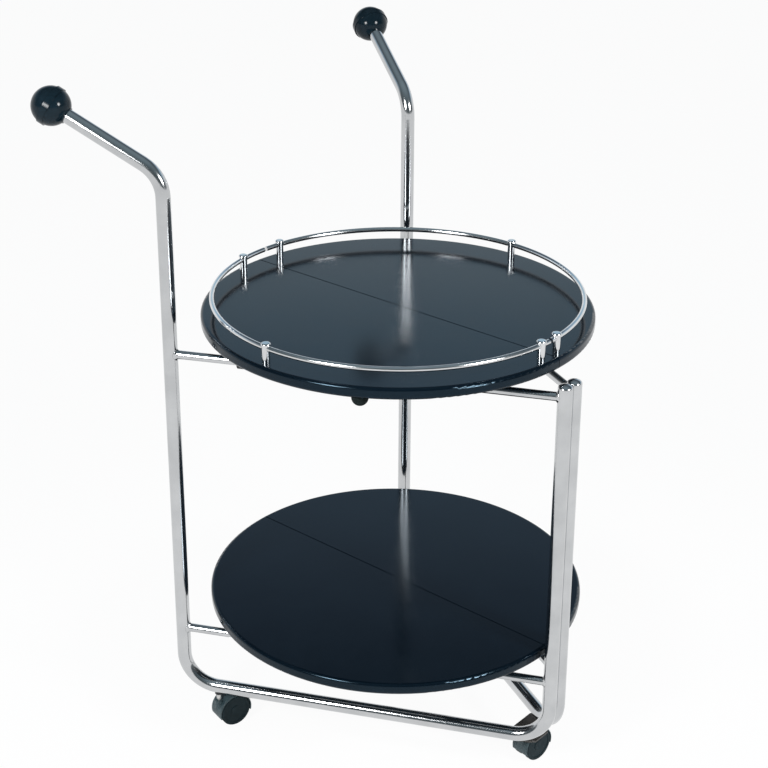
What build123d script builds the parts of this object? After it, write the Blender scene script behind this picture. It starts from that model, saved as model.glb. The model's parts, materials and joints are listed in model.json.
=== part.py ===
"""Folding bar cart.

Two side frames of bent tube stand in a V, linked by a plate under their front ends that also
carries the front caster. Each frame carries one half of two round trays.
The halves turn on the frames' cross bars, and the lower tray's halves are hinged together below
their underside, so lifting the fold line draws the frames together.
X is across the cart, Y runs from the apex (front) to the handles (rear), Z is up from the floor.
"""
import os
from math import cos, radians, sin, sqrt, tan

from build123d import *

# Trays
tray_r = 270.0
tray_t = 16.0
tray_edge_r = 4.5
lower_tray_rise = 124.0
tray_spacing = 432.0
split_gap = 1.0
split_chamfer = 0.4

# Side frames
tube_d = 20.0
tube_wall = 1.5
bar_d = 12.0
bend_r = 50.0
half_angle = 26.5
post_gap = 0.3
front_post_clear = 8.0
rear_post_clear = 33.6
post_above_bar = 12.0
handle_corner_rise = 778.0
handle_reach = 171.0
handle_rise_angle = 29.1

# Knobs and caps
knob_d = 53.0
band_w = 9.0
band_proud = 0.8
collar_d = 23.0
collar_proud = 1.2
cap_dome_h = 6.5
cap_crown_r = 16.0
cap_shoulder_r = 4.5
spigot_h = 12.0

# Clips that carry the trays on the cross bars
bar_drop = 30.0
clip_front_inset = 125.0
clip_rear_inset = 59.5
clip_l = 24.0
clip_wall = 4.0
clip_web_t = 12.0
flange_t = 4.0
flange_margin = 10.0
clip_flange_w = 30.0

# Drop hinge below the lower tray's fold line
bar_clear = 13.0
hinge_places = (-80.0, 110.0)
knuckle_d = 14.0
knuckle_l = 12.0
knuckle_gap = 0.3
pin_d = 6.0
pin_head_d = 10.0
pin_head_h = 2.5
arm_inner_x = 12.0
arm_outer_x = 40.0
hinge_flange_w = 34.0

# Screws
screw_d = 4.0
screw_head_d = 8.0
screw_head_h = 2.6
screw_bite = 9.0
screw_edge = 1.0
slot_w = 1.0
slot_depth = 1.0

# Gallery on the upper tray
gallery_inset = 16.0
gallery_d = 7.0
gallery_z = 19.0
gallery_end_gap = 4.5
gallery_post_d = 11.0
gallery_cap_d = 13.0
gallery_cap_h = 3.5
gallery_cap_round = 2.1
gallery_stud_d = 5.0
gallery_stud_h = 8.0
near_post_angles = (11.2, 89.1, 176.0)
far_post_angles = (6.6, 91.3, 176.6)

# Rubber bumpers
bumper_d = 22.0
bumper_h = 18.0
bumper_inset = 20.0
bumper_angle = 119.4

# Plate under the front ends of the bottom rails, stepped down where the far rail swings over it
plate_t = 2.5
plate_front = 20.0
plate_rear = 64.0
plate_corner_r = 4.0
plate_cradle = 1.0
plate_drop = 4.0
plate_clear = 1.0
step_near_x = 18.0
step_far_x = 10.0

# Casters
wheel_d = 47.0
wheel_w = 8.3
wheel_crown = 1.5
dish_d = 38.0
hub_d = 16.0
dish_depth = 0.6
web_w = 10.0
wheel_side_gap = 0.5
caster_trail = 20.0
hood_wall = 1.7
hood_gap = 0.8
hood_round = 0.8
hood_floor_gap = 17.0
boss_d = 14.0
boss_h = 14.5
boss_below_top = 5.0
stem_d = 8.0
stem_grip = 14.0
stem_h = 14.0
socket_d = 12.0
socket_proud = 2.0
axle_d = 6.0
axle_inset = 3.0
# Casters' distances from the front or rear posts, and the directions in which their wheels trail
front_caster_place = 49.3
near_rear_place = 51.0
far_rear_place = 135.0
front_trail_angle = -7.5
rear_trail_angle = -14.7

# Fits
seat_gap = 0.02
running_gap = 0.05

NEAR = -1
FAR = 1
SIDES = {"near": NEAR, "far": FAR}

tube_r = tube_d / 2
turn = radians(half_angle)
rise = radians(handle_rise_angle)
post_x = tube_r + post_gap / 2
wheel_r = wheel_d / 2
hood_r = wheel_r + hood_gap
caster_w = web_w + 2 * (wheel_side_gap + wheel_w)

# Heights
hood_top_z = wheel_r + hood_r + hood_wall
boss_top_z = hood_top_z - boss_below_top
plate_far_z = hood_top_z + plate_clear + plate_t
rail_under_z = plate_far_z + plate_drop
rail_z = rail_under_z + tube_r
plate_near_z = rail_under_z + plate_cradle
stem_bottom_z = boss_top_z - stem_grip
stem_top_z = rail_under_z + stem_h
lower_tray_z = rail_z + lower_tray_rise
upper_tray_z = lower_tray_z + tray_spacing
handle_corner_z = rail_z + handle_corner_rise
lower_bar_z = lower_tray_z - bar_drop
upper_bar_z = upper_tray_z - bar_drop
upper_top_z = upper_tray_z + tray_t
hinge_drop = bar_drop + bar_clear
hinge_z = lower_tray_z - hinge_drop
front_post_z = upper_bar_z + post_above_bar
knob_z = handle_corner_z + handle_reach * sin(rise)

# Plan: the trays' centre lies behind the apex, and each bar passes it at bar_offset
apex_to_tray = tube_r + front_post_clear + tray_r
bar_middle = apex_to_tray * cos(turn) - post_x * sin(turn)
bar_offset = apex_to_tray * sin(turn) + post_x * cos(turn)
bar_reach = sqrt(tray_r**2 - bar_offset**2)
frame_length = bar_middle + sqrt((tray_r + rear_post_clear + tube_r) ** 2 - bar_offset**2)
knob_along = frame_length + handle_reach * cos(rise)
depth = tube_r + knob_along * cos(turn) + knob_d / 2
apex_y = tube_r - depth / 2
tray_y = apex_y + apex_to_tray
clip_places = (bar_middle - bar_reach + clip_front_inset, bar_middle + bar_reach - clip_rear_inset)
gallery_r = tray_r - gallery_inset

ON_BASE = (Align.CENTER, Align.CENTER, Align.MIN)
UNDER_BASE = (Align.CENTER, Align.CENTER, Align.MAX)

os.makedirs("parts", exist_ok=True)


def save(name, shape):
    """Write one node."""
    shape.label = name
    export_step(shape, f"parts/{name}.step")


def frame_plane(side, along, height):
    """Plane of a side frame, local x towards the rear and local y up, at a place on it."""
    origin = (side * (post_x + along * sin(turn)), apex_y + along * cos(turn), height)
    return Plane(origin, x_dir=(side * sin(turn), cos(turn), 0), z_dir=(cos(turn), -side * sin(turn), 0))


def bar_plane(side, along, height):
    """Plane with local x along a cross bar towards the rear and local z up."""
    upright = frame_plane(side, along, height)
    return Plane(upright.origin, x_dir=upright.x_dir, z_dir=(0, 0, 1))


def tray_place(side, radius, angle, height):
    """Place on a tray half, its angle counted from the rear end of the fold line."""
    return Pos(side * radius * sin(radians(angle)), tray_y + radius * cos(radians(angle)), height)


def upright_rod(place, diameter, bottom, top):
    """Vertical cylinder at an X, Y place."""
    return Pos(place.X, place.Y, bottom) * Cylinder(diameter / 2, top - bottom, align=ON_BASE)


def knob_plane(side):
    """Plane at a knob's centre, local z pointing out along the handle."""
    centre = frame_plane(side, knob_along, knob_z)
    out = centre.x_dir * cos(rise) + Vector(0, 0, sin(rise))
    return Plane(centre.origin, z_dir=out)


def rail_place(side, along):
    """Place on the floor below a bottom rail."""
    return frame_plane(side, along, 0).origin


def tube_path(side):
    """Middle line of a frame's tube: front post, bottom rail, rear post and sloping handle."""
    return frame_plane(side, 0, 0) * FilletPolyline(
        (0, front_post_z),
        (0, rail_z),
        (frame_length, rail_z),
        (frame_length, handle_corner_z),
        (knob_along, knob_z),
        radius=bend_r,
    )


def frame_tube(side):
    """One bent tube, drilled for its caster's socket."""
    path = tube_path(side)
    section = Plane(path @ 0, z_dir=path % 0) * (Circle(tube_r) - Circle(tube_r - tube_wall))
    place = casters["near_rear" if side == NEAR else "far_rear"][0]
    return sweep(section, path=path) - upright_rod(place, socket_d + 2 * seat_gap, rail_z - tube_d, rail_z)


def apex_plate():
    """Stepped plate that hugs the near rail from below and passes under the far rail."""
    corners = []
    for side, behind in ((NEAR, plate_rear), (FAR, plate_rear), (FAR, plate_front), (NEAR, plate_front)):
        corners.append((side * (post_x + behind * tan(turn)), apex_y + behind))
    outline = make_face(Polyline(*corners, close=True))
    outline = fillet(outline.vertices(), plate_corner_r)
    reach = 2 * tray_r
    near_top = [(-reach, plate_near_z), (-step_near_x, plate_near_z)]
    far_top = [(-step_far_x, plate_far_z), (reach, plate_far_z)]
    top = near_top + far_top
    bottom = [(x, z - plate_t) for x, z in reversed(top)]
    profile = make_face(Polyline(*top, *bottom, close=True))
    plate = extrude(outline, rail_z) & extrude(Plane.XZ * profile, reach, both=True)
    path = tube_path(NEAR)
    seat = sweep(Plane(path @ 0, z_dir=path % 0) * Circle(tube_r + seat_gap), path=path)
    return plate - seat - upright_rod(casters["front"][0], socket_d + 2 * seat_gap, 0, rail_z)


def cross_bar(side, height):
    """Thin bar between the two posts of a frame, its ends shaped to fit round the tubes."""
    middle = bar_plane(side, frame_length / 2, height)
    bar = middle * Rot(0, 90, 0) * Cylinder(bar_d / 2, frame_length)
    for along in (0, frame_length):
        place = frame_plane(side, along, height).origin
        bar -= upright_rod(place, tube_d + 2 * seat_gap, height - tube_d, height + tube_d)
    return bar


def ball_knob(side):
    """Ball with a raised band round its middle and a collar at the tube's mouth."""
    knob_r = knob_d / 2
    ball = Sphere(knob_r) + Cylinder(knob_r + band_proud, band_w)
    mouth = sqrt(knob_r**2 - (collar_d / 2) ** 2)
    collar = Cylinder(collar_d / 2, mouth + collar_proud, align=UNDER_BASE)
    bore = Pos(0, 0, seat_gap) * Cylinder(tube_r + seat_gap, knob_d, align=UNDER_BASE)
    return knob_plane(side) * (ball + collar - bore)


def post_cap(side):
    """Domed cap with a round shoulder, and a spigot inside the front post."""
    crown = Pos(0, 0, cap_dome_h - cap_crown_r) * Sphere(cap_crown_r)
    dome = Cylinder(tube_r, cap_dome_h, align=ON_BASE) & crown
    rims = dome.edges().filter_by(lambda edge: edge.is_closed)
    dome = fillet(rims.group_by(Axis.Z)[-1], cap_shoulder_r)
    spigot = Cylinder(tube_r - tube_wall - seat_gap, spigot_h, align=UNDER_BASE)
    place = frame_plane(side, 0, 0).origin
    return Pos(place.X, place.Y, front_post_z) * (dome + spigot)


def caster_socket(name):
    """Bush in a rail or in the plate that a caster's stem turns in."""
    place, _, under_z, top_z = casters[name]
    bush = upright_rod(place, socket_d, under_z - socket_proud, top_z)
    return bush - upright_rod(place, stem_d + 2 * running_gap, 0, 2 * rail_z)


def clip_screw_offsets():
    """Places of a clip's two screws along its bar, from the clip's middle."""
    reach = (clip_l + flange_margin) / 2
    return (-reach, reach)


def screw_seats(side, tray):
    """Planes where screws enter a tray half from below: local z up, origin on its underside."""
    height = upper_tray_z if tray == "upper" else lower_tray_z
    seats = []
    for along in clip_places:
        for offset in clip_screw_offsets():
            seats.append(bar_plane(side, along + offset, height))
    if tray == "lower":
        x = side * (arm_inner_x + arm_outer_x) / 2
        reach = (hinge_flange_w - screw_head_d) / 2 - screw_edge
        for place in hinge_places:
            for offset in (-reach, reach):
                seats.append(Plane((x, knuckle_y(side, place) + offset, height)))
    return seats


def tray_half(side, tray):
    """Half of a round tray with rounded edges, cut along the fold line and drilled."""
    height = upper_tray_z if tray == "upper" else lower_tray_z
    disc = Cylinder(tray_r, tray_t, align=ON_BASE)
    disc = fillet(disc.edges().filter_by(GeomType.CIRCLE), tray_edge_r)
    keep = Pos(side * (tray_r + split_gap / 2), 0, 0) * Box(2 * tray_r, 3 * tray_r, 3 * tray_t)
    groove_side = sqrt(2) * (split_gap / 2 + split_chamfer)
    groove = Pos(0, 0, tray_t) * Rot(0, 45, 0) * Box(groove_side, 3 * tray_r, groove_side)
    half = Pos(0, tray_y, height) * ((disc & keep) - groove)
    hole = Cylinder(screw_d / 2 + seat_gap, 2 * (screw_bite + seat_gap))
    for seat in screw_seats(side, tray):
        half -= seat * hole
    if tray == "upper":
        stud_hole = Cylinder(gallery_stud_d / 2 + seat_gap, 2 * (gallery_stud_h + seat_gap))
        for place in gallery_places(side):
            half -= place * stud_hole
    return half


def tray_clips(side, tray):
    """Two clips under a tray half, each a barrel round the cross bar on a screwed flange."""
    height = upper_bar_z if tray == "upper" else lower_bar_z
    barrel = Rot(0, 90, 0) * Cylinder(bar_d / 2 + clip_wall, clip_l)
    web = Box(clip_l, clip_web_t, bar_drop, align=ON_BASE)
    flange = Pos(0, 0, bar_drop) * Box(
        clip_l + 2 * flange_margin, clip_flange_w, flange_t, align=UNDER_BASE
    )
    clip = barrel + web + flange - Rot(0, 90, 0) * Cylinder(bar_d / 2 + running_gap, 2 * clip_l)
    for offset in clip_screw_offsets():
        clip -= Pos(offset, 0, bar_drop) * Cylinder(screw_d / 2 + seat_gap, 3 * flange_t)
    return Compound(children=[bar_plane(side, along, height) * clip for along in clip_places])


def screws(side, tray):
    """Round-headed wood screws that hold the clips and hinge brackets to a tray half."""
    head = Pos(0, 0, -flange_t) * Cylinder(screw_head_d / 2, screw_head_h, align=UNDER_BASE)
    head = fillet(head.edges().group_by(Axis.Z)[0], screw_head_h / 2)
    shank = Pos(0, 0, -flange_t) * Cylinder(screw_d / 2, flange_t + screw_bite, align=ON_BASE)
    slot = Pos(0, 0, -flange_t - screw_head_h) * Box(screw_head_d, slot_w, 2 * slot_depth)
    screw = head + shank - slot
    return Compound(children=[seat * screw for seat in screw_seats(side, tray)])


def knuckle_y(side, place):
    """Middle of a knuckle: the near half's stands before the hinge's middle, the far half's behind."""
    return tray_y + place + side * (knuckle_l + knuckle_gap) / 2


def hinge_brackets(side):
    """Two drop brackets: a screwed flange and an arm down to a knuckle on the hinge line."""
    bore = pin_d / 2 + (seat_gap if side == NEAR else running_gap)
    arm_x = side * (arm_inner_x + arm_outer_x) / 2
    arm_w = arm_outer_x - arm_inner_x
    holes = [seat * Cylinder(screw_d / 2 + seat_gap, 3 * flange_t) for seat in screw_seats(side, "lower")]
    brackets = []
    for place in hinge_places:
        middle = knuckle_y(side, place)
        top = Pos(arm_x, hinge_drop - flange_t / 2) * Rectangle(arm_w, flange_t)
        outline = make_hull((top + Circle(knuckle_d / 2)).edges())
        section = Plane((0, middle, hinge_z), x_dir=(1, 0, 0), z_dir=(0, -1, 0))
        arm = extrude(section * outline, knuckle_l / 2, both=True)
        flange = Pos(arm_x, middle, lower_tray_z) * Box(arm_w, hinge_flange_w, flange_t, align=UNDER_BASE)
        pin_hole = extrude(section * Circle(bore), knuckle_l, both=True)
        brackets.append(arm + flange - pin_hole - holes)
    return Compound(children=brackets)


def hinge_pins():
    """Headed pins through both halves' knuckles, peened at the rear end."""
    length = 2 * knuckle_l + 3 * knuckle_gap
    rod = Cylinder(pin_d / 2, length, align=ON_BASE)
    head = Cylinder(pin_head_d / 2, pin_head_h, align=UNDER_BASE)
    peen = Pos(0, 0, length) * Cylinder(pin_head_d / 2, pin_head_h / 2, align=ON_BASE)
    pins = []
    for place in hinge_places:
        start = tray_y + place + (knuckle_gap - length) / 2
        line = Plane((0, start, hinge_z), x_dir=(1, 0, 0), z_dir=(0, 1, 0))
        pins.append(line * (rod + head + peen))
    return Compound(children=pins)


def gallery_places(side):
    """Places of a half's gallery posts on the tray's top."""
    angles = near_post_angles if side == NEAR else far_post_angles
    return [tray_place(side, gallery_r, angle, upper_top_z) for angle in angles]


def gallery_ring(side, diameter):
    """Half ring of the gallery rail."""
    ring = Torus(gallery_r, diameter / 2)
    keep = Pos(side * (2 * gallery_r + gallery_end_gap / 2), 0, 0) * Box(
        4 * gallery_r, 4 * gallery_r, 4 * gallery_d
    )
    return Pos(0, tray_y, upper_top_z + gallery_z) * (ring & keep)


def gallery_posts(side):
    """Three capped posts that hold a half of the gallery rail."""
    cap_z = gallery_z + gallery_d / 2 + seat_gap
    stud = Cylinder(gallery_stud_d / 2, gallery_stud_h, align=UNDER_BASE)
    cap = Pos(0, 0, cap_z) * Cylinder(gallery_cap_d / 2, gallery_cap_h, align=ON_BASE)
    cap = fillet(cap.edges().group_by(Axis.Z)[-1], gallery_cap_round)
    post = stud + Cylinder(gallery_post_d / 2, cap_z, align=ON_BASE) + cap
    rail_room = gallery_ring(side, gallery_d + 2 * seat_gap)
    return Compound(children=[place * post - rail_room for place in gallery_places(side)])


def bumper(side):
    """Rubber button with a round end under the upper tray."""
    dome_r = bumper_d / 2
    stalk = Cylinder(dome_r, bumper_h - dome_r, align=UNDER_BASE)
    button = stalk + Pos(0, 0, dome_r - bumper_h) * Sphere(dome_r)
    keep = Box(2 * bumper_d, 2 * bumper_d, 2 * bumper_h, align=UNDER_BASE)
    return tray_place(side, tray_r - bumper_inset, bumper_angle, upper_tray_z) * (button & keep)


def caster_plane(name):
    """Plane at a caster's stem on the floor, local x along the trail and local y along the axle."""
    place, heading, _, _ = casters[name]
    return Plane(place, x_dir=(cos(radians(heading)), sin(radians(heading)), 0), z_dir=(0, 0, 1))


def axle_rod(diameter, length):
    """Cylinder on a caster's axle line."""
    return Pos(caster_trail, 0, wheel_r) * Rot(90, 0, 0) * Cylinder(diameter / 2, length)


def stem_rod(diameter, bottom, top):
    """Cylinder on a caster's stem line."""
    return upright_rod(Vector(0, 0, 0), diameter, bottom, top)


def caster_stem(name):
    """Steel pin from the hood up into the socket."""
    return stem_rod(stem_d, stem_bottom_z, casters[name][3])


def caster_hood():
    """Hood over both wheels: a web between them, a guard round their top and a boss for the stem."""
    guard = axle_rod(2 * (hood_r + hood_wall), caster_w)
    guard = fillet(guard.edges().filter_by(GeomType.CIRCLE), hood_round)
    guard -= axle_rod(2 * hood_r, 2 * caster_w)
    web = axle_rod(2 * hood_r, web_w)
    keep = Pos(caster_trail, 0, hood_floor_gap) * Box(4 * wheel_d, 4 * wheel_d, 4 * wheel_d, align=ON_BASE)
    wheels_room = axle_rod(2 * hood_r, caster_w) - axle_rod(4 * hood_r, web_w)
    boss = stem_rod(boss_d, boss_top_z - boss_h, boss_top_z) - wheels_room
    stem_room = stem_rod(stem_d + 2 * seat_gap, stem_bottom_z - seat_gap, rail_z)
    axle_room = axle_rod(axle_d + 2 * running_gap, 2 * caster_w)
    return ((guard + web) & keep) + boss - stem_room - axle_room


def caster_axle():
    """Steel rod through the hood's web into both wheels."""
    return axle_rod(axle_d, caster_w - 2 * axle_inset)


def caster_wheels():
    """Two wheels fast on the axle, with rounded treads, a hub and a dished outer face."""
    wheel = Cylinder(wheel_r, wheel_w)
    wheel = fillet(wheel.edges().filter_by(GeomType.CIRCLE), wheel_crown)
    dish = Cylinder(dish_d / 2, 2 * dish_depth) - Cylinder(hub_d / 2, 3 * dish_depth)
    wheel -= Pos(0, 0, wheel_w / 2) * dish
    bore_depth = wheel_w - axle_inset + seat_gap
    wheel -= Pos(0, 0, -wheel_w / 2) * Cylinder(axle_d / 2 + seat_gap, bore_depth, align=ON_BASE)
    offset = (caster_w - wheel_w) / 2
    return [Pos(caster_trail, side * offset, wheel_r) * Rot(-side * 90, 0, 0) * wheel for side in (-1, 1)]


# Place of each caster's stem, direction in which its wheels trail, underside of what holds its socket
# and top of its stem
front_place = Vector(0, apex_y + front_caster_place, 0)
near_place = rail_place(NEAR, frame_length - near_rear_place)
far_place = rail_place(FAR, frame_length - far_rear_place)
casters = {
    "front": (front_place, front_trail_angle, plate_far_z - plate_t, plate_far_z),
    "near_rear": (near_place, rear_trail_angle, rail_under_z, stem_top_z),
    "far_rear": (far_place, rear_trail_angle, rail_under_z, stem_top_z),
}

for word, side in SIDES.items():
    save(f"{word}_frame_tube", frame_tube(side))
    save(f"{word}_upper_bar", cross_bar(side, upper_bar_z))
    save(f"{word}_lower_bar", cross_bar(side, lower_bar_z))
    save(f"{word}_ball_knob", ball_knob(side))
    save(f"{word}_post_cap", post_cap(side))
    for tray in ("lower", "upper"):
        save(f"{tray}_tray_{word}", tray_half(side, tray))
        save(f"{tray}_clips_{word}", tray_clips(side, tray))
        save(f"{tray}_screws_{word}", screws(side, tray))
    save(f"hinge_brackets_{word}", hinge_brackets(side))
    save(f"gallery_rail_{word}", gallery_ring(side, gallery_d))
    save(f"gallery_posts_{word}", gallery_posts(side))
    save(f"bumper_{word}", bumper(side))
save("hinge_pins", hinge_pins())
save("apex_plate", apex_plate())
for name in casters:
    plane = caster_plane(name)
    save(f"{name}_caster_socket", caster_socket(name))
    save(f"{name}_caster_stem", plane * caster_stem(name))
    save(f"{name}_caster_hood", plane * caster_hood())
    save(f"{name}_caster_axle", plane * caster_axle())
    save(f"{name}_caster_wheels", Compound(children=[plane * wheel for wheel in caster_wheels()]))
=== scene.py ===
"""Looks of the folding bar cart: chrome tube, black lacquered trays, gloss knobs and charcoal casters.

Metres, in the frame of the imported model: +Z up, +Y from the apex of the V to the handles, near frame at -X.
"""
import json
import math

import bpy
import numpy as np
from mathutils import Matrix, Vector


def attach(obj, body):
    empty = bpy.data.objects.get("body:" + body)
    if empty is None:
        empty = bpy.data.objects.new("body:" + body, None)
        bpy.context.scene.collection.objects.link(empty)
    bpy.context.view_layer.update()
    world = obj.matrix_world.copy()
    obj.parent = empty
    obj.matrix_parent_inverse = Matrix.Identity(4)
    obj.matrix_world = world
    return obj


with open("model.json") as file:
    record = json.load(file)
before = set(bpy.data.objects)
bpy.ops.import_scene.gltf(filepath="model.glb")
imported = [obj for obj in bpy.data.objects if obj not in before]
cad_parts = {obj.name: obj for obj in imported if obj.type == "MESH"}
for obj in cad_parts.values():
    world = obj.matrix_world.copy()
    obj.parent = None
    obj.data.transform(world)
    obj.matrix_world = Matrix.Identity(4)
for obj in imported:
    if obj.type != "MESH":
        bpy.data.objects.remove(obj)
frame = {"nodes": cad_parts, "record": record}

nodes = frame["nodes"]
for leftover in ("Cube", "Light", "Camera"):
    if leftover in bpy.data.objects:
        bpy.data.objects.remove(bpy.data.objects[leftover])
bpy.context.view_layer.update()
scene = bpy.context.scene
scene.view_settings.view_transform = "Standard"

# Camera, as the photograph was taken: its place in metres, its turns in degrees, its lens in pixels
camera_place = (-1.61047, -1.37400, 1.50488)
camera_yaw = 48.4716
camera_pitch = 21.943
camera_roll = -0.117
focal_px = 1652.12
picture_px = 768
sensor_width = 36.0
view_depth = 60.0
centre_px = (354.557, 291.307)

# Studio: each lamp has a bearing in degrees and a distance from the aim in metres
lamp_width = 1.0
lamp_power = 150.0
lamp_elevation = 24.5
lamps = {"lamp_left": (266.0, 2.3), "lamp_right": (179.5, 2.4)}
aim = Vector((0.0, 0.0, 0.65))
backdrop_side = (0.749, 0.663, 0.0)
backdrop_share = (-0.25, 0.45)
floor_half = 30.0
floor_grey = 0.88
floor_dull = 0.9
floor_white = 0.95

# Sky: colours by the height of a direction, 0 at the horizon and 1 overhead
ceiling = (1.0, (0.24, 0.31, 0.35))
sky_behind = (
    (0.0, (1.0, 1.0, 1.0)),
    (0.24, (0.92, 0.96, 1.0)),
    (0.345, (0.64, 0.78, 0.87)),
    (0.378, (0.48, 0.67, 0.80)),
    (0.41, (0.35, 0.55, 0.71)),
    (0.495, (0.38, 0.49, 0.61)),
    (0.535, (0.26, 0.31, 0.40)),
    (0.575, (0.10, 0.12, 0.14)),
    (0.72, (0.09, 0.11, 0.13)),
    ceiling,
)
sky_before = (
    (0.0, (1.0, 1.0, 1.0)),
    (0.01, (0.16, 0.18, 0.19)),
    (0.20, (0.09, 0.11, 0.12)),
    (0.60, (0.12, 0.16, 0.18)),
    ceiling,
)

# Finishes: most noise values lie between these two, and reliefs are given in metres
noise_low = 0.3
noise_high = 0.7
chrome_relief = 0.0004
fine_relief = 0.0002

# Frames: each lies in an upright plane that leaves the apex at the half angle of the V
half_angle = math.radians(26.5)
apex_y = -0.314511
front_post_x = 0.01015
frame_length = 0.535018
tube_r = 0.010
bar_r = 0.006
bar_heights = {"lower": 0.161, "upper": 0.593}

# Weld beads: ripples round the bar, and the bead's hollow, lap on the bar and sunk edge
weld_leg = 0.0022
weld_ripples = 16.0
weld_ripple_share = 0.06
weld_corner_share = 0.25
weld_lap = 0.0001
weld_sunk = 0.0006
weld_steps_around = 72
weld_steps_across = 9


def camera_turn():
    """Rotation whose columns are the camera's right, up and backward directions."""
    yaw, pitch, roll = (math.radians(a) for a in (camera_yaw, camera_pitch, camera_roll))
    right = Vector((math.cos(yaw), -math.sin(yaw), 0.0))
    ahead = Vector((math.sin(yaw) * math.cos(pitch), math.cos(yaw) * math.cos(pitch), -math.sin(pitch)))
    up = right.cross(ahead)
    tilted_right = math.cos(roll) * right + math.sin(roll) * up
    tilted_up = math.cos(roll) * up - math.sin(roll) * right
    return Matrix((tilted_right, tilted_up, -ahead)).transposed()


def add_camera():
    """Camera at the photograph's place, its shift from the picture's optical centre."""
    lens = bpy.data.cameras.new("camera")
    lens.sensor_width = sensor_width
    lens.lens = focal_px * sensor_width / picture_px
    lens.shift_x = (picture_px / 2 - centre_px[0]) / picture_px
    lens.shift_y = (centre_px[1] - picture_px / 2) / picture_px
    lens.clip_end = view_depth
    camera = bpy.data.objects.new("camera", lens)
    camera.matrix_world = Matrix.Translation(camera_place) @ camera_turn().to_4x4()
    scene.collection.objects.link(camera)
    scene.camera = camera


def add_lamp(name, bearing, distance):
    """Round soft lamp, brightest in its middle; its bearing is counted clockwise from +Y, from above."""
    lamp = bpy.data.lights.new(name, "AREA")
    lamp.shape = "DISK"
    lamp.size = lamp_width
    lamp.energy = lamp_power
    lamp.use_nodes = True
    new = lamp.node_tree.nodes.new
    link = lamp.node_tree.links.new
    middle = 0.5  # the lamp's own surface coordinates run from 0 to 1
    off_middle = new("ShaderNodeVectorMath")
    off_middle.operation = "DISTANCE"
    link(new("ShaderNodeNewGeometry").outputs["Parametric"], off_middle.inputs[0])
    off_middle.inputs[1].default_value = (middle, middle, 0.0)
    fade = new("ShaderNodeMapRange")
    fade.interpolation_type = "SMOOTHSTEP"
    fade.inputs["From Max"].default_value = middle
    fade.inputs["To Min"].default_value = 1.0
    fade.inputs["To Max"].default_value = 0.0
    link(off_middle.outputs["Value"], fade.inputs["Value"])
    link(fade.outputs["Result"], lamp.node_tree.nodes["Emission"].inputs["Strength"])
    turn = math.radians(bearing)
    lift = math.radians(lamp_elevation)
    away = Vector((math.sin(turn) * math.cos(lift), math.cos(turn) * math.cos(lift), math.sin(lift)))
    holder = bpy.data.objects.new(name, lamp)
    holder.location = aim + away * distance
    holder.rotation_euler = away.to_track_quat("Z", "Y").to_euler()
    scene.collection.objects.link(holder)


def sky_ramp(new, link, height, stops):
    """Colour by the height of a direction, from 0 at the horizon to 1 overhead."""
    ramp = new("ShaderNodeValToRGB")
    elements = ramp.color_ramp.elements
    for element, (place, colour) in zip(elements, (stops[0], stops[-1])):
        element.position = place
        element.color = (*colour, 1.0)
    for place, colour in stops[1:-1]:
        elements.new(place).color = (*colour, 1.0)
    link(height, ramp.inputs["Fac"])
    return ramp.outputs["Color"]


def add_world():
    """Studio: a white backdrop behind the cart, a dimmer room before it and a dim bluish ceiling."""
    world = bpy.data.worlds.new("studio")
    scene.world = world
    world.use_nodes = True
    tree = world.node_tree
    tree.nodes.clear()
    new = tree.nodes.new
    link = tree.links.new
    where = new("ShaderNodeTexCoord").outputs["Generated"]
    split = new("ShaderNodeSeparateXYZ")
    link(where, split.inputs[0])
    side = new("ShaderNodeVectorMath")
    side.operation = "DOT_PRODUCT"
    link(where, side.inputs[0])
    side.inputs[1].default_value = backdrop_side
    share = new("ShaderNodeMapRange")
    share.interpolation_type = "SMOOTHSTEP"
    share.inputs["From Min"].default_value = backdrop_share[0]
    share.inputs["From Max"].default_value = backdrop_share[1]
    link(side.outputs["Value"], share.inputs["Value"])
    mix = new("ShaderNodeMix")
    mix.data_type = "RGBA"
    link(share.outputs["Result"], mix.inputs["Factor"])
    colours = [socket for socket in mix.inputs if socket.type == "RGBA"]
    link(sky_ramp(new, link, split.outputs["Z"], sky_before), colours[0])
    link(sky_ramp(new, link, split.outputs["Z"], sky_behind), colours[1])
    room = new("ShaderNodeBackground")
    link([socket for socket in mix.outputs if socket.type == "RGBA"][0], room.inputs["Color"])
    link(room.outputs[0], new("ShaderNodeOutputWorld").inputs["Surface"])


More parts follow.
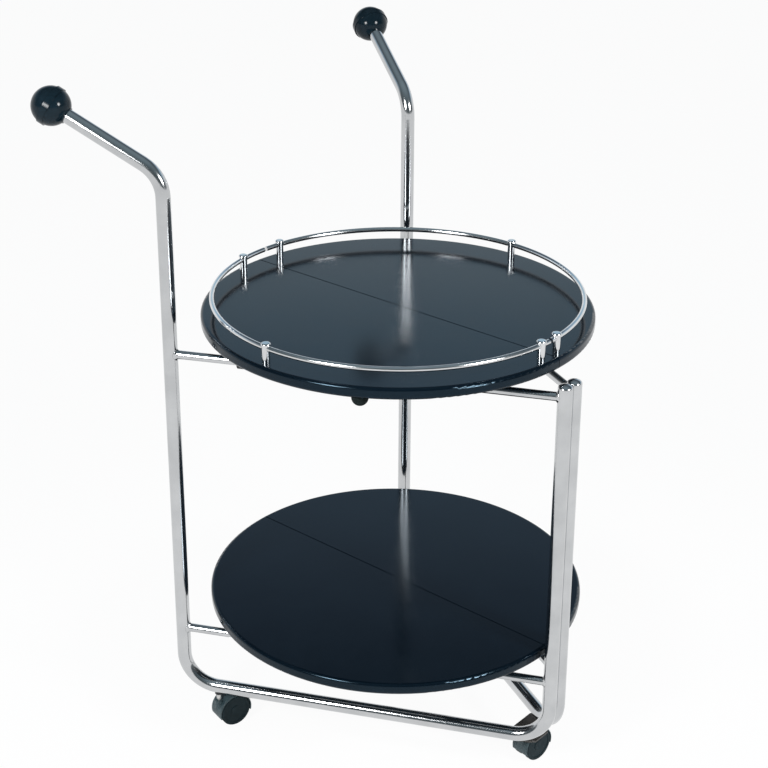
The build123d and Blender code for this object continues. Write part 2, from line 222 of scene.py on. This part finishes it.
def add_floor():
    """Pale floor, all but white to the eye and in reflections, with a trace of the cart's shadow on it."""
    mesh = bpy.data.meshes.new("floor")
    corners = [(-floor_half, -floor_half, 0), (floor_half, -floor_half, 0),
               (floor_half, floor_half, 0), (-floor_half, floor_half, 0)]
    mesh.from_pydata(corners, [], [(0, 1, 2, 3)])
    floor = bpy.data.objects.new("floor", mesh)
    scene.collection.objects.link(floor)
    material = bpy.data.materials.new("pale_floor")
    material.use_nodes = True
    tree = material.node_tree
    new = tree.nodes.new
    link = tree.links.new
    paint = tree.nodes["Principled BSDF"]
    paint.inputs["Base Color"].default_value = (floor_grey, floor_grey, floor_grey, 1.0)
    paint.inputs["Roughness"].default_value = floor_dull
    paint.inputs["Specular IOR Level"].default_value = 0.0
    white = new("ShaderNodeEmission")
    path = new("ShaderNodeLightPath")
    seen = path.outputs["Is Camera Ray"]
    for kind in ("Is Glossy Ray", "Is Transmission Ray"):
        either = new("ShaderNodeMath")
        either.operation = "MAXIMUM"
        link(seen, either.inputs[0])
        link(path.outputs[kind], either.inputs[1])
        seen = either.outputs[0]
    share = new("ShaderNodeMapRange")
    share.inputs["To Max"].default_value = floor_white
    link(seen, share.inputs["Value"])
    mix = new("ShaderNodeMixShader")
    link(share.outputs["Result"], mix.inputs["Fac"])
    link(paint.outputs[0], mix.inputs[1])
    link(white.outputs[0], mix.inputs[2])
    link(mix.outputs[0], tree.nodes["Material Output"].inputs["Surface"])
    mesh.materials.append(material)


def shader_of(name):
    """New node material: its tree's node and link makers, its shader and the object coordinates."""
    material = bpy.data.materials.new(name)
    material.use_nodes = True
    tree = material.node_tree
    where = tree.nodes.new("ShaderNodeTexCoord").outputs["Object"]
    return material, tree.nodes.new, tree.links.new, tree.nodes["Principled BSDF"], where


def noise(new, link, where, scale, detail):
    """Noise value at so many grains per metre, with so many finer layers of detail."""
    texture = new("ShaderNodeTexNoise")
    texture.inputs["Scale"].default_value = scale
    texture.inputs["Detail"].default_value = detail
    link(where, texture.inputs["Vector"])
    return texture.outputs["Fac"]


def spread(new, link, value, low, high):
    """Map a noise value from its usual range to low..high."""
    node = new("ShaderNodeMapRange")
    node.inputs["From Min"].default_value = noise_low
    node.inputs["From Max"].default_value = noise_high
    node.inputs["To Min"].default_value = low
    node.inputs["To Max"].default_value = high
    link(value, node.inputs["Value"])
    return node.outputs["Result"]


def shade(new, link, value, dark, light):
    """Colour between two tones by a noise value."""
    ramp = new("ShaderNodeValToRGB")
    stops = ramp.color_ramp.elements
    for stop, place, tone in zip(stops, (noise_low, noise_high), (dark, light)):
        stop.position = place
        stop.color = (*tone, 1.0)
    link(value, ramp.inputs["Fac"])
    return ramp.outputs["Color"]


def bump(new, link, shader, height, strength, depth):
    """Small relief from a height value, depth in metres."""
    node = new("ShaderNodeBump")
    node.inputs["Strength"].default_value = strength
    node.inputs["Distance"].default_value = depth
    link(height, node.inputs["Height"])
    link(node.outputs["Normal"], shader.inputs["Normal"])


def chrome_plate(name, dark, light, smooth, dull):
    """Bright plating: handling marks vary its gloss and tint, and its reflections ripple faintly."""
    material, new, link, shader, where = shader_of(name)
    shader.inputs["Metallic"].default_value = 1.0
    marks = noise(new, link, where, scale=26.0, detail=4.0)
    smears = noise(new, link, where, scale=60.0, detail=5.0)
    ripple = noise(new, link, where, scale=90.0, detail=2.0)
    link(shade(new, link, marks, dark, light), shader.inputs["Base Color"])
    link(spread(new, link, smears, smooth, dull), shader.inputs["Roughness"])
    bump(new, link, shader, ripple, strength=0.012, depth=chrome_relief)
    return material


def black_lacquer():
    """Satin blue-black lacquer, its gloss uneven and its face dimpled by faint orange peel."""
    material, new, link, shader, where = shader_of("black_lacquer")
    shader.inputs["Specular IOR Level"].default_value = 0.28
    shader.inputs["Specular Tint"].default_value = (0.50, 0.78, 1.0, 1.0)
    dark = (0.0010, 0.0034, 0.0068)
    light = (0.0019, 0.0051, 0.0092)
    cloud = noise(new, link, where, scale=9.0, detail=4.0)
    haze = noise(new, link, where, scale=34.0, detail=5.0)
    peel = noise(new, link, where, scale=320.0, detail=2.0)
    link(shade(new, link, cloud, dark, light), shader.inputs["Base Color"])
    link(spread(new, link, haze, low=0.13, high=0.16), shader.inputs["Roughness"])
    bump(new, link, shader, peel, strength=0.015, depth=fine_relief)
    return material


def gloss_knob():
    """Polished black moulding with faint swirls left by handling."""
    material, new, link, shader, where = shader_of("gloss_knob")
    shader.inputs["Specular IOR Level"].default_value = 0.16
    dark = (0.0034, 0.010, 0.015)
    light = (0.0068, 0.015, 0.022)
    cloud = noise(new, link, where, scale=70.0, detail=3.0)
    swirls = noise(new, link, where, scale=120.0, detail=4.0)
    grain = noise(new, link, where, scale=500.0, detail=2.0)
    link(shade(new, link, cloud, dark, light), shader.inputs["Base Color"])
    link(spread(new, link, swirls, low=0.09, high=0.13), shader.inputs["Roughness"])
    bump(new, link, shader, grain, strength=0.02, depth=fine_relief)
    return material


def moulded(name, dark, light, low, high, grain=900.0, shine=0.5):
    """Dark moulding, rubber or paint with a fine grain; its roughness varies between low and high."""
    material, new, link, shader, where = shader_of(name)
    shader.inputs["Specular IOR Level"].default_value = shine
    cloud = noise(new, link, where, scale=55.0, detail=4.0)
    rubs = noise(new, link, where, scale=140.0, detail=3.0)
    pits = noise(new, link, where, scale=grain, detail=2.0)
    link(shade(new, link, cloud, dark, light), shader.inputs["Base Color"])
    link(spread(new, link, rubs, low, high), shader.inputs["Roughness"])
    bump(new, link, shader, pits, strength=0.15, depth=fine_relief)
    return material


def zinc_steel():
    """Zinc-plated fasteners and pins: dull grey with cloudy passivation."""
    material, new, link, shader, where = shader_of("zinc_steel")
    shader.inputs["Metallic"].default_value = 1.0
    dark = (0.50, 0.51, 0.51)
    light = (0.66, 0.66, 0.64)
    cloud = noise(new, link, where, scale=160.0, detail=4.0)
    rubs = noise(new, link, where, scale=240.0, detail=4.0)
    link(shade(new, link, cloud, dark, light), shader.inputs["Base Color"])
    link(spread(new, link, rubs, low=0.26, high=0.42), shader.inputs["Roughness"])
    return material


def make_finishes():
    """Finish of each record slot."""
    return {
        "chromed_tube": chrome_plate("bright_chrome", (0.50, 0.51, 0.52), (0.58, 0.59, 0.60),
                                     smooth=0.12, dull=0.15),
        "gallery": chrome_plate("gallery_chrome", (0.62, 0.63, 0.64), (0.70, 0.71, 0.72),
                                smooth=0.11, dull=0.15),
        "lacquer": black_lacquer(),
        "knob": gloss_knob(),
        "clip": moulded("black_clip", (0.009, 0.010, 0.012), (0.015, 0.017, 0.020),
                        low=0.4, high=0.5, shine=0.3),
        "bracket": moulded("black_bracket", (0.017, 0.017, 0.019), (0.026, 0.026, 0.029),
                           low=0.3, high=0.45, grain=400.0),
        "plate": moulded("black_plate", (0.034, 0.031, 0.028), (0.048, 0.044, 0.040),
                         low=0.4, high=0.55, grain=400.0),
        "steel": zinc_steel(),
        "rubber": moulded("black_rubber", (0.004, 0.007, 0.007), (0.007, 0.012, 0.012),
                          low=0.6, high=0.75, shine=0.1),
        "caster_hood": moulded("charcoal_hood", (0.026, 0.047, 0.055), (0.038, 0.062, 0.070),
                               low=0.38, high=0.5, shine=0.4),
        "caster_wheel": moulded("charcoal_wheel", (0.005, 0.014, 0.018), (0.011, 0.023, 0.028),
                                low=0.42, high=0.55, shine=0.12),
    }


def dress_frame(finishes):
    """Give every carried-over node the finish of its record slot."""
    for subpart in frame["record"]["subparts"]:
        piece = nodes[subpart["node"]]
        piece.data.materials.clear()
        piece.data.materials.append(finishes[subpart["material_slot"]])


def weld_surface(post, inward):
    """Bead where a cross bar meets a post, as a grid: u runs round the bar and v round the bead.

    The post's skin lies sqrt(tube_r^2 - (r cos u)^2) from its axis at radius r from the bar's axis.
    The bead's face is the curve (1-v)^2 A + 2v(1-v) B + v^2 C from A, one leg out along the bar, to C,
    one leg out over the post, drawn towards their corner B; a last point sunk behind the corner closes
    the loop.
    """
    around = np.linspace(0.0, 2.0 * np.pi, weld_steps_around, endpoint=False)[:, None]
    across = np.linspace(0.0, 1.0, weld_steps_across)[None, :]
    leg = weld_leg * (1.0 + weld_ripple_share * np.cos(weld_ripples * around))

    def skin(radius):
        return np.sqrt(tube_r ** 2 - (radius * np.cos(around)) ** 2)

    corner_out = skin(bar_r) + weld_corner_share * leg
    corner_r = bar_r + weld_corner_share * leg
    first = (1.0 - across) ** 2
    middle = 2.0 * across * (1.0 - across)
    last = across ** 2
    out = first * (skin(bar_r) + leg) + middle * corner_out + last * skin(bar_r + leg)
    radius = first * (bar_r - weld_lap) + middle * corner_r + last * (bar_r + leg)
    out = np.hstack([out, skin(bar_r) - weld_sunk])
    radius = np.hstack([radius, np.full_like(leg, bar_r - weld_sunk)])
    sideways = np.cross((0.0, 0.0, 1.0), inward)
    aside = (radius * np.cos(around))[..., None] * sideways
    above = (radius * np.sin(around))[..., None] * np.array((0.0, 0.0, 1.0))
    return np.asarray(post) + out[..., None] * inward + aside + above


def closed_grid(grids):
    """Vertices and outward quads of grids that close on themselves both ways."""
    points = []
    quads = []
    start = 0
    for grid in grids:
        rows, columns = grid.shape[:2]
        index = start + np.arange(rows * columns).reshape(rows, columns)
        right = np.roll(index, -1, axis=1)
        down = np.roll(index, -1, axis=0)
        faces = np.stack([index, right, np.roll(right, -1, axis=0), down], axis=-1).reshape(-1, 4)
        flat = grid.reshape(-1, 3)
        corner = flat[faces - start] - flat.mean(axis=0)
        volume = np.einsum("ij,ij->", corner[:, 0], np.cross(corner[:, 1], corner[:, 2]))
        volume += np.einsum("ij,ij->", corner[:, 0], np.cross(corner[:, 2], corner[:, 3]))
        points.append(flat)
        quads.append(faces if volume > 0.0 else faces[:, ::-1])
        start += rows * columns
    return np.vstack(points), np.vstack(quads)


def add_piece(name, grids, material, body):
    """Smooth mesh piece from closed grids, with its place in its mesh."""
    points, quads = closed_grid(grids)
    mesh = bpy.data.meshes.new(name)
    mesh.from_pydata(points, [], quads)
    mesh.polygons.foreach_set("use_smooth", np.ones(len(quads), dtype=bool))
    mesh.materials.append(material)
    piece = bpy.data.objects.new(name, mesh)
    scene.collection.objects.link(piece)
    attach(piece, body)


def add_welds(chrome):
    """Plated weld beads at both ends of the four cross bars."""
    for which, side in (("near", -1.0), ("far", 1.0)):
        along = np.array((side * math.sin(half_angle), math.cos(half_angle), 0.0))
        for tier, height in bar_heights.items():
            front = np.array((side * front_post_x, apex_y, height))
            rear = front + frame_length * along
            grids = [weld_surface(front, along), weld_surface(rear, -along)]
            add_piece(f"{which}_{tier}_bar_welds", grids, chrome, f"{which}_frame")


slot_finishes = make_finishes()
dress_frame(slot_finishes)
add_welds(slot_finishes["chromed_tube"])
add_camera()
add_world()
add_floor()
for lamp_name, (lamp_bearing, lamp_distance) in lamps.items():
    add_lamp(lamp_name, lamp_bearing, lamp_distance)
